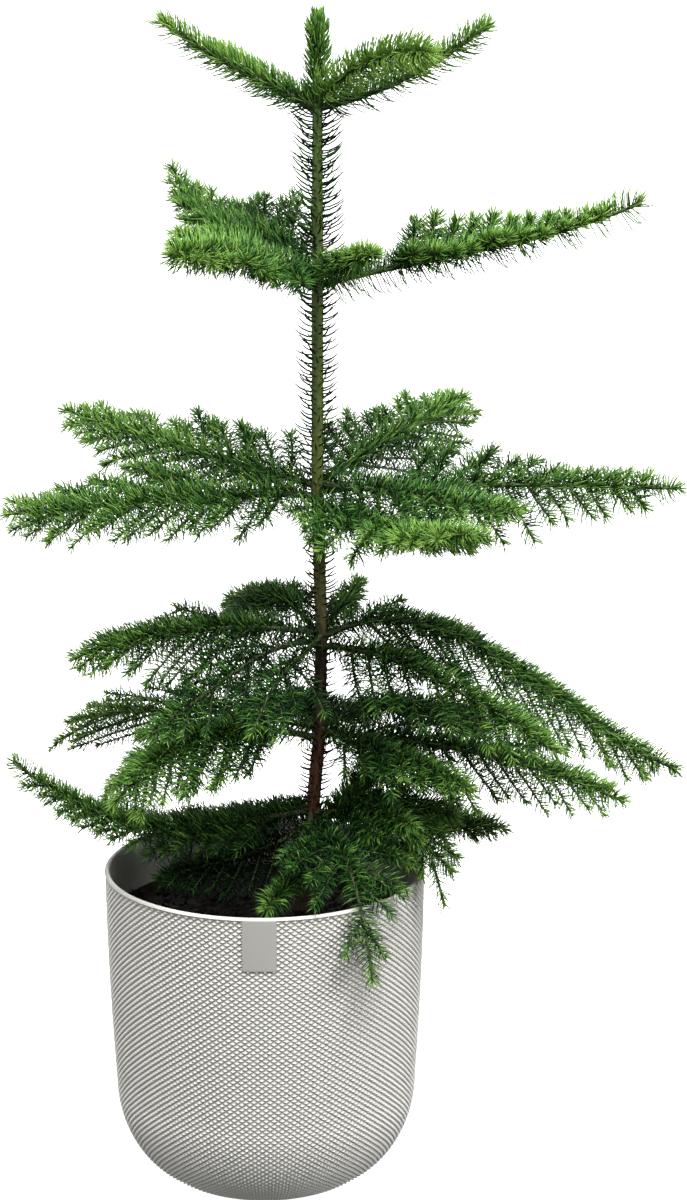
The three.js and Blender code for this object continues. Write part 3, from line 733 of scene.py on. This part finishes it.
def trunk_mesh():
    foot = LEADER[0][0]

    def surface(share, turn):
        height = lerp(foot, LEADER_TIP, share)
        axis = leader_points(height)
        out = np.stack([np.cos(turn), np.sin(turn), np.zeros_like(turn)], axis=1)
        woody = np.clip((TRUNK["green_above"] - height) / TRUNK["green_within"], 0, 1)
        pads = scars(height, turn, TRUNK_PADS)
        cracks = rough(out * TRUNK_CRACKS["girth"] + axis, TRUNK_CRACKS["cell"], TRUNK_CRACKS["stretch"])
        cracks *= lerp(TRUNK_CRACKS["green"], TRUNK_CRACKS["woody"], woody)
        low = np.clip((foot + TRUNK_FOOT["height"] - height) / TRUNK_FOOT["height"], 0, 1)
        flare = 1 + TRUNK_FOOT["swell"] * np.cos(TRUNK_FOOT["ribs"] * turn + 1) * low
        return axis, out, leader_radius(height) * flare + pads + cracks

    bm = bmesh.new()
    wrapped_tube(bm, TRUNK["rings"], TRUNK["sides"], surface)
    return finished_bmesh(bm, "trunk_bark")


def bough_mesh(boughs):
    bm = bmesh.new()
    for bough in boughs:

        def surface(share, turn, bough=bough):
            points = bough_points(bough, share)
            across, above = sides_of(heading_of(bough, share))
            out = across * np.cos(turn)[:, None] + above * np.sin(turn)[:, None]
            from_root = share * bough["reach"]
            collar = BOUGH_COLLAR["width"] * np.exp(-from_root / BOUGH_COLLAR["length"])
            pads = scars(from_root, turn, BOUGH_PADS)
            uneven = rough(points + out * BOUGH_CRACKS["girth"], BOUGH_CRACKS["cell"]) * BOUGH_CRACKS["height"]
            return points, out, lerp(*BOUGH_RADIUS, share) + collar + pads + uneven

        wrapped_tube(bm, math.ceil(bough["reach"] / BOUGH["ring_step"]), BOUGH["sides"], surface)
    return finished_bmesh(bm, "bough_bark")


# ---- pot


def outside_profile():
    """Points (radius, height) up the outside from the foot to under the lip, a knurl row apart."""
    turns = np.linspace(math.pi / 2, 0, CURVE_SAMPLES)
    corner = np.stack([FOOT_RADIUS + ROUNDING * np.cos(turns), SHOULDER["height"] * (1 - np.sin(turns))], axis=1)
    heights = np.linspace(SHOULDER["height"], POT_TOP - LIP_HEIGHT, CURVE_SAMPLES)[1:]
    wall = np.stack([pot_radius(heights), heights], axis=1)
    curve = np.concatenate([corner, wall])
    along = np.concatenate([[0], np.cumsum(np.linalg.norm(np.diff(curve, axis=0), axis=1))])
    even = np.linspace(0, along[-1], round(along[-1] / KNURL["row"]) + 1)
    return np.stack([np.interp(even, along, curve[:, 0]), np.interp(even, along, curve[:, 1])], axis=1)


def inside_profile(top, rings, corner_rings, gap=0.0):
    """Points (radius, height) down the wall's inside and round to the middle of the floor, a gap within them."""
    inset = WALL + gap
    heights = np.linspace(top, SHOULDER["height"], rings)
    turns = np.linspace(0, math.pi / 2, corner_rings)[1:]
    drop = SHOULDER["height"] - FLOOR - gap
    wall = [(float(pot_radius(height)) - inset, height) for height in heights]
    corner = [
        (FOOT_RADIUS - inset + ROUNDING * math.cos(turn), SHOULDER["height"] - drop * math.sin(turn)) for turn in turns
    ]
    return [*wall, *corner, (0.0, FLOOR + gap)]


def lip_profile(outer):
    """The smooth band, the rounded rim, and the inside down to the middle of the floor."""
    outer = outer + KNURL["proud"]
    rounding = WALL / 2
    rim_middle = outer - rounding
    turns = np.linspace(0, math.pi, RINGS["rim"])
    rim = [(rim_middle + rounding * math.cos(turn), POT_TOP - rounding * (1 - math.sin(turn))) for turn in turns]
    inside = inside_profile(POT_TOP - INSIDE_FROM, RINGS["wall"], RINGS["corner"])
    return [(outer, POT_TOP - LIP_HEIGHT + LIP_GAP), *rim, *inside]


def knurl(bm, rows, row_of):
    """Pushes the knurl's points out and its grooves in. The vertices get a value: 0 on a point, 1 in a groove."""
    slopes = np.gradient(rows, axis=0)
    normals = unit(np.stack([slopes[:, 1], -slopes[:, 0]], axis=1))
    sunk = bm.verts.layers.float.new("sunk")
    for vert in bm.verts:
        row = vert[row_of]
        if not row:
            # the lip, the inside and the middle of the bottom take a share of the painted shade of the grooves
            vert[sunk] = LIP_AND_INSIDE_SHADE
            continue
        column = round(math.atan2(vert.co.y, vert.co.x) / (2 * math.pi) * KNURL["columns"])
        vert[sunk] = float((row + column) % 2)
        if row in (1, len(rows)):
            continue
        radius = math.hypot(vert.co.x, vert.co.y)
        fine = min(1.0, radius / SHOULDER["radius"])
        push = fine * (-KNURL["sunk"] if vert[sunk] else KNURL["proud"])
        outward = Vector((vert.co.x / radius, vert.co.y / radius, 0))
        vert.co += (outward * normals[row - 1][0] + Vector((0, 0, normals[row - 1][1]))) * push
        vert.co.z = max(vert.co.z, 0.0)
    return sunk


def pot_mesh():
    """The wall is spun and knurled, then each quad is folded along its groove. The lip and inside stay smooth."""
    rows = outside_profile()
    bm = bmesh.new()
    row_of = bm.verts.layers.int.new("row")
    verts = profile_verts(bm, [(0.0, 0.0), *rows.tolist(), *lip_profile(float(rows[-1][0]))])
    for row in range(1, len(rows) + 1):
        verts[row][row_of] = row
    spin_round(bm, verts, KNURL["columns"])
    bmesh.ops.recalc_face_normals(bm, faces=bm.faces)
    sunk = knurl(bm, rows, row_of)
    smooth = []
    for face in list(bm.faces):
        if not all(vert[row_of] for vert in face.verts):
            smooth.append(face)
        elif len(face.verts) == 4:
            bmesh.utils.face_split(face, *[vert for vert in face.verts if vert[sunk]][:2])
    for face in smooth:
        face.smooth = True
    return mesh_of(bm, "pot_wall")


def tab_mesh():
    """A bare plate with round corners, bent to the wall and flush with the knurl's points."""
    bm = bmesh.new()
    bmesh.ops.create_grid(bm, x_segments=1, y_segments=1, size=0.5)
    bmesh.ops.scale(bm, vec=(TAB["width"], TAB["height"], 1), verts=bm.verts)
    shared = {"profile": 0.5, "material": -1}
    bmesh.ops.bevel(bm, geom=bm.verts[:], offset=TAB["corner"], segments=4, affect="VERTICES", **shared)
    for axis, half, cuts in zip(((1, 0, 0), (0, 1, 0)), (TAB["width"] / 2, TAB["height"] / 2), TAB_CUTS):
        for i in range(1, cuts):
            place = Vector(axis) * half * (2 * i / cuts - 1)
            bmesh.ops.bisect_plane(bm, geom=bm.verts[:] + bm.edges[:] + bm.faces[:], plane_co=place, plane_no=axis)
    back = bmesh.ops.extrude_face_region(bm, geom=bm.faces[:])["geom"]
    for vert in (item for item in back if isinstance(item, bmesh.types.BMVert)):
        vert.co.z -= TAB["depth"]
    front = [edge for edge in bm.edges if all(abs(vert.co.z) < SEAM for vert in edge.verts)]
    rim = [edge for edge in front if any(abs(face.normal.z) < 0.5 for face in edge.link_faces)]
    bmesh.ops.recalc_face_normals(bm, faces=bm.faces)
    bmesh.ops.bevel(bm, geom=rim, offset=TAB["edge"], segments=2, affect="EDGES", **shared)
    middle = POT_TOP - LIP_HEIGHT - LIP_GAP - TAB["height"] / 2
    for vert in bm.verts:
        height = middle + vert.co.y
        wall = float(pot_radius(height))
        radius = wall + KNURL["proud"] + vert.co.z
        turn = math.radians(TAB["azimuth"]) + vert.co.x / wall
        vert.co = (radius * math.cos(turn), radius * math.sin(turn), height)
    return finished_bmesh(bm, "pot_tab", smooth=False)


# ---- soil


def soil_mesh():
    """A bed of peat with an uneven top, closed below it down to the pot's floor."""
    bm = bmesh.new()
    inside = inside_profile(SOIL_TOP, rings=6, corner_rings=6, gap=GAP)
    edge = inside[0][0]
    top = [(edge * i / SOIL["rings"], SOIL_TOP) for i in range(SOIL["rings"])]
    spin_round(bm, profile_verts(bm, top + inside), SOIL["columns"])
    for vert in bm.verts:
        if vert.co.z < SOIL_TOP - SEAM:
            continue
        swell = noise.noise(vert.co / SWELLS["cell"]) * SWELLS["height"]
        lumps = noise.turbulence(vert.co / LUMPS["cell"], LUMPS["octaves"], False) * LUMPS["height"]
        rim = min(1.0, (edge - math.hypot(vert.co.x, vert.co.y)) / SOIL["rim"])
        vert.co.z += rim * (swell + lumps) - SOIL["lower"]
    return finished_bmesh(bm, "soil_bed")


def crumb_mesh(rng):
    """Loose crumbs and short fibres of peat and bark on the bed."""
    bm = bmesh.new()
    for i in range(CRUMBS["count"]):
        distance = math.sqrt(rng.uniform(0, 1)) * (float(pot_radius(SOIL_TOP)) - WALL - CRUMBS_LIE["clear"])
        turn = rng.uniform(0, 2 * math.pi)
        size = rng.uniform(*CRUMBS["size"])
        stretch = FIBRES["stretch"] if i % FIBRES["every"] == 0 else tuple(rng.uniform(*CRUMBS["stretch"], 3))
        height = SOIL_TOP - CRUMBS_LIE["sunk"] + rng.uniform(0, CRUMBS_LIE["rise"])
        place = Vector((distance * math.cos(turn), distance * math.sin(turn), height))
        tilt = Matrix.Rotation(rng.uniform(-CRUMBS_LIE["tilt"], CRUMBS_LIE["tilt"]), 4, "X")
        tilt = tilt @ Matrix.Rotation(rng.uniform(0, 2 * math.pi), 4, "Z")
        shape = Matrix.Translation(place) @ tilt.inverted() @ Matrix.Diagonal((*(Vector(stretch) * size), 1))
        for vert in bmesh.ops.create_icosphere(bm, subdivisions=1, radius=1.0, matrix=shape)["verts"]:
            vert.co += Vector(rng.normal(0, size * CRUMBS["uneven"], 3))
    return finished_bmesh(bm, "soil_crumbs", smooth=False)


# ---- finishes


def finish_named(name, colour, roughness):
    """A material with a Principled shader, and that shader."""
    material = bpy.data.materials.new(name)
    material.use_nodes = True
    shader = material.node_tree.nodes["Principled BSDF"]
    shader.inputs["Base Color"].default_value = colour
    shader.inputs["Roughness"].default_value = roughness
    return material, shader


def add(material, kind, inputs=(), **settings):
    """A node of a kind. Its inputs are given as values, or as the outputs that feed them."""
    node = material.node_tree.nodes.new(f"ShaderNode{kind}")
    for key, value in settings.items():
        setattr(node, key, value)
    for key, value in dict(inputs).items():
        if isinstance(value, bpy.types.NodeSocket):
            material.node_tree.links.new(value, node.inputs[key])
        else:
            node.inputs[key].default_value = value
    return node


def add_noise(material, scale, detail, stretch=(1, 1, 1)):
    """Noise on the object's own coordinates, from 0 to 1. scale is in cells a metre."""
    place = add(material, "TexCoord").outputs["Object"]
    mapped = add(material, "Mapping", {"Vector": place, "Scale": stretch}).outputs["Vector"]
    return add(material, "TexNoise", {"Vector": mapped, "Scale": scale, "Detail": detail}).outputs["Fac"]


def add_ramp(material, source, *stops):
    """Colours at places from 0 to 1 of a source's range."""
    ramp = add(material, "ValToRGB", {"Fac": source})
    elements = ramp.color_ramp.elements
    for element, (place, colour) in zip(elements, stops[:2]):
        element.position = place
        element.color = colour
    for place, colour in stops[2:]:
        elements.new(place).color = colour
    return ramp.outputs["Color"]


def add_product(material, first, second, share):
    """The first colour, darkened by a share of the second."""
    inputs = {"A": first, "B": second, "Factor": share}
    # A colour mix has sockets of the same names for other kinds of data, so the node is told its kind first.
    return add(material, "Mix", inputs, data_type="RGBA", blend_type="MULTIPLY").outputs["Result"]


def finish_with(material, shader, colour, relief, depth, strength):
    """Feeds the shader its colour and a bump."""
    links = material.node_tree.links
    bump = add(material, "Bump", {"Distance": depth, "Strength": strength, "Height": relief})
    links.new(colour, shader.inputs["Base Color"])
    links.new(bump.outputs["Normal"], shader.inputs["Normal"])
    return material


def grained_finish(name, dark, light, roughness, scale, detail, span, depth, strength):
    """A finish between two colours, whose relief follows them. span is where in the noise they are reached."""
    material, shader = finish_named(name, light, roughness)
    grain = add_noise(material, scale, detail)
    tone = add_ramp(material, grain, (span[0], dark), (span[1], light))
    return finish_with(material, shader, tone, grain, depth, strength)


def pot_finish():
    """Ivory plastic, with painted shade in the knurl's grooves and a lighter painted shade on the lip and inside."""
    material, shader = finish_named("ivory_plastic", IVORY, roughness=0.52)
    tone = add_ramp(material, add_noise(material, scale=900, detail=3), (0.3, IVORY_DULL), (0.7, IVORY))
    # painted shade: the sunk value darkens the ivory in the knurl's grooves, and partly on the lip and inside
    sunk = add(material, "Attribute", attribute_name="sunk").outputs["Fac"]
    groove = add_ramp(material, sunk, (0.3, WHITE), (1.0, GROOVE_SHADE))
    colour = add_product(material, tone, groove, share=1.0)
    relief = add_noise(material, scale=2600, detail=2)
    return finish_with(material, shader, colour, relief, depth=0.00004, strength=0.35)


def soil_finish(name, dark, light):
    return grained_finish(
        name, dark, light, roughness=0.95, scale=420, detail=6, span=(0.35, 0.72), depth=0.0008, strength=0.8
    )


def bark_finish():
    """Red-brown below, olive green above, with darker scars and a lengthwise grain."""
    material, shader = finish_named("trunk_bark", BARK["olive"], roughness=0.68)
    place = add(material, "TexCoord").outputs["Object"]
    height = add(material, "SeparateXYZ", {"Vector": place}).outputs["Z"]
    reach = {"Value": height, "From Min": SOIL_TOP, "From Max": LEADER_TIP}
    share = add(material, "MapRange", reach).outputs["Result"]
    grain = add_noise(material, scale=520, detail=5, stretch=(1, 1, 0.35))
    mixed = add(material, "Math", {0: grain, 1: BARK_MOTTLE, 2: share}, operation="MULTIPLY_ADD").outputs["Value"]
    tone = add_ramp(material, mixed, *[(stop, BARK[name]) for stop, name in BARK_STOPS])
    spots = add_ramp(material, grain, (0.38, BARK_SCAR), (0.62, WHITE))
    colour = add_product(material, tone, spots, share=0.6)
    return finish_with(material, shader, colour, grain, depth=0.0003, strength=0.6)


def needle_finish(name, paint):
    material, shader = finish_named(f"needles_{name}", bare_colour(*paint), roughness=0.42)
    shader.inputs["Specular IOR Level"].default_value = 0.2
    return material


# ---- floor, lights and camera


def make_stage():
    """A pale round floor that curves up into a wall far behind, on every side."""
    bm = bmesh.new()
    reach, sweep = STAGE["radius"], STAGE["sweep"]
    turns = np.linspace(0, math.pi / 2, STAGE_STEPS["sweep"])
    bend = [(reach + sweep * math.sin(turn), sweep * (1 - math.cos(turn))) for turn in turns]
    profile = [(0.0, 0.0), (STAGE["middle"], 0.0), *bend, (reach + sweep, STAGE["height"])]
    verts = profile_verts(bm, [(radius, height - STAGE_DROP) for radius, height in profile])
    spin_round(bm, verts, STAGE_STEPS["round"])
    floor = placed("floor", finished_bmesh(bm, "floor", inward=True))
    floor.visible_diffuse = False
    floor.visible_glossy = False
    material, shader = finish_named("pale_floor", STAGE["colour"], roughness=0.9)
    shader.inputs["Emission Color"].default_value = WHITE
    shader.inputs["Emission Strength"].default_value = STAGE["glow"]
    floor.data.materials.append(material)


def make_lights():
    world = bpy.data.worlds.new("studio")
    bpy.context.scene.world = world
    world.use_nodes = True
    background = world.node_tree.nodes["Background"]
    background.inputs["Color"].default_value = WHITE
    background.inputs["Strength"].default_value = WORLD_LIGHT
    for name, place, aim, size, power in LIGHTS:
        data = bpy.data.lights.new(name, "AREA")
        data.shape = "SQUARE"
        data.size = size
        data.energy = power
        placed(name, data, place, (Vector(aim) - Vector(place)).to_track_quat("-Z", "Y").to_euler())


def make_camera():
    data = bpy.data.cameras.new("camera")
    data.sensor_width = CAMERA["sensor"]
    data.lens = CAMERA["lens"]
    turn = (math.radians(90 - CAMERA["pitch"]), 0, 0)
    bpy.context.scene.camera = placed("camera", data, CAMERA["place"], turn)
    bpy.context.scene.view_settings.view_transform = "Standard"


# ---- the whole plant in its pot


def leader_rows(rng):
    """The leader's needles, from below upward. They stand out level and none hangs or closes up."""
    axes = (Z, np.array([1.0, 0.0, 0.0]), np.array([0.0, 1.0, 0.0]))
    parts = []
    for low, high, needle, lean, tone, crowd, thick in LEADER_NEEDLES:
        line = {"curve": lambda t: leader_points(lerp(low, high, np.asarray(t))), "length": high - low}
        radii = leader_radius([low, high])
        parts.append(dress_line(line, rng, radii, crowd, needle, lean, tone, thick=thick, hang=0, end=0, axes=axes))
    return joined(parts)


def dress_of(line):
    """How a stem or twig is dressed: by its bough, and by how far out it is."""
    bough = line["bough"]
    is_twig = line["from"] is not None
    place = line["from"] if is_twig else STEM_PLACE
    # The tone set by whorl and bough mixes the needles' own green with painted light and shade.
    tone = bough["tone"] + bough["fresh"] + TONE["outward"] * (place - 0.5) + TONE["twig"] * is_twig
    dress = dict(tone=tone + float(bough["draw"](-TONE["spray"], TONE["spray"])), under=bough["under"])
    if is_twig:
        crowd = bough["twig_crowd"] * bough["bushy"] * bough["dense"]
        needle = bough["needle"] * (TWIG_NEEDLE * bough["bushy"])
        return dict(dress, radii=TWIG_RADIUS, crowd=crowd, needle=needle, lean=bough["twig_lean"],
                    tone_rise=TONE["twig_rise"])
    return dict(dress, radii=BOUGH_RADIUS, crowd=bough["stem_crowd"], needle=bough["needle"] * bough["comb"],
                lean=bough["stem_lean"], tone_rise=TONE["outward"], start=NEEDLES_FROM, root_crowd=bough["root_crowd"])


def build_pot():
    rng = np.random.default_rng(SEEDS["soil"])
    piece("pot_wall", pot_mesh(), "pot_wall", ["pot"], pot_finish())
    greige = grained_finish(
        "greige_plastic", GREIGE_DULL, GREIGE, roughness=0.6, scale=1500, detail=3, span=(0.35, 0.65), depth=0.00005,
        strength=0.4,
    )
    piece("pot_tab", tab_mesh(), "pot_wall", ["pot"], greige)
    piece("soil_bed", soil_mesh(), "potting_soil", ["soil"], soil_finish("peat", PEAT["dark"], PEAT["light"]))
    crumbs = soil_finish("peat_crumbs", PEAT["crumb_dark"], PEAT["crumb_light"])
    piece("soil_crumbs", crumb_mesh(rng), "potting_soil", ["soil"], crumbs)


def build_plant():
    rng = np.random.default_rng(SEEDS["needles"])
    boughs = boughs_of_the_tree()
    stems, twigs = grow(boughs)
    tints = [needle_finish(name, paint) for name, paint in NEEDLE_TINTS.items()]
    limbs = [f"bough_{bough['name']}" for bough in boughs if bough["limb"]]
    piece("trunk_bark", trunk_mesh(), "bark", ["trunk"], bark_finish())
    bark = grained_finish(
        "bough_bark", BARK["bough_dark"], BARK["bough"], roughness=0.65, scale=480, detail=4, span=(0.35, 0.65),
        depth=0.0002, strength=0.5,
    )
    piece("bough_bark", bough_mesh(boughs), "bough_bark", limbs, bark)
    leader = clear_needles(leader_rows(rng), True)
    piece("needles_leader", needle_mesh("needles_leader", leader, FINE_RINGS), "needles", ["trunk"], *tints)
    twig_bark = finish_named("twig_bark", BARK["twig"], roughness=0.6)[0]
    for whorl in WHORLS:
        level = whorl["level"]
        masses = [f"foliage_{bough['name']}" for bough in boughs if bough["level"] == level]
        lines = [line for line in stems + twigs if line["bough"]["level"] == level]
        rows = joined([dress_line(line, rng, **dress_of(line)) for line in lines])
        name = f"needles_whorl_{level}"
        rings = FINE_RINGS if level == 1 else NEEDLE_RINGS
        piece(name, needle_mesh(name, clear_needles(rows), rings), "needles", masses, *tints)
        own_twigs = [line for line in lines if line["from"] is not None]
        if own_twigs:
            name = f"twigs_whorl_{level}"
            piece(name, twig_mesh(name, own_twigs), "bough_bark", masses, twig_bark)


make_camera()
make_lights()
make_stage()
build_pot()
build_plant()
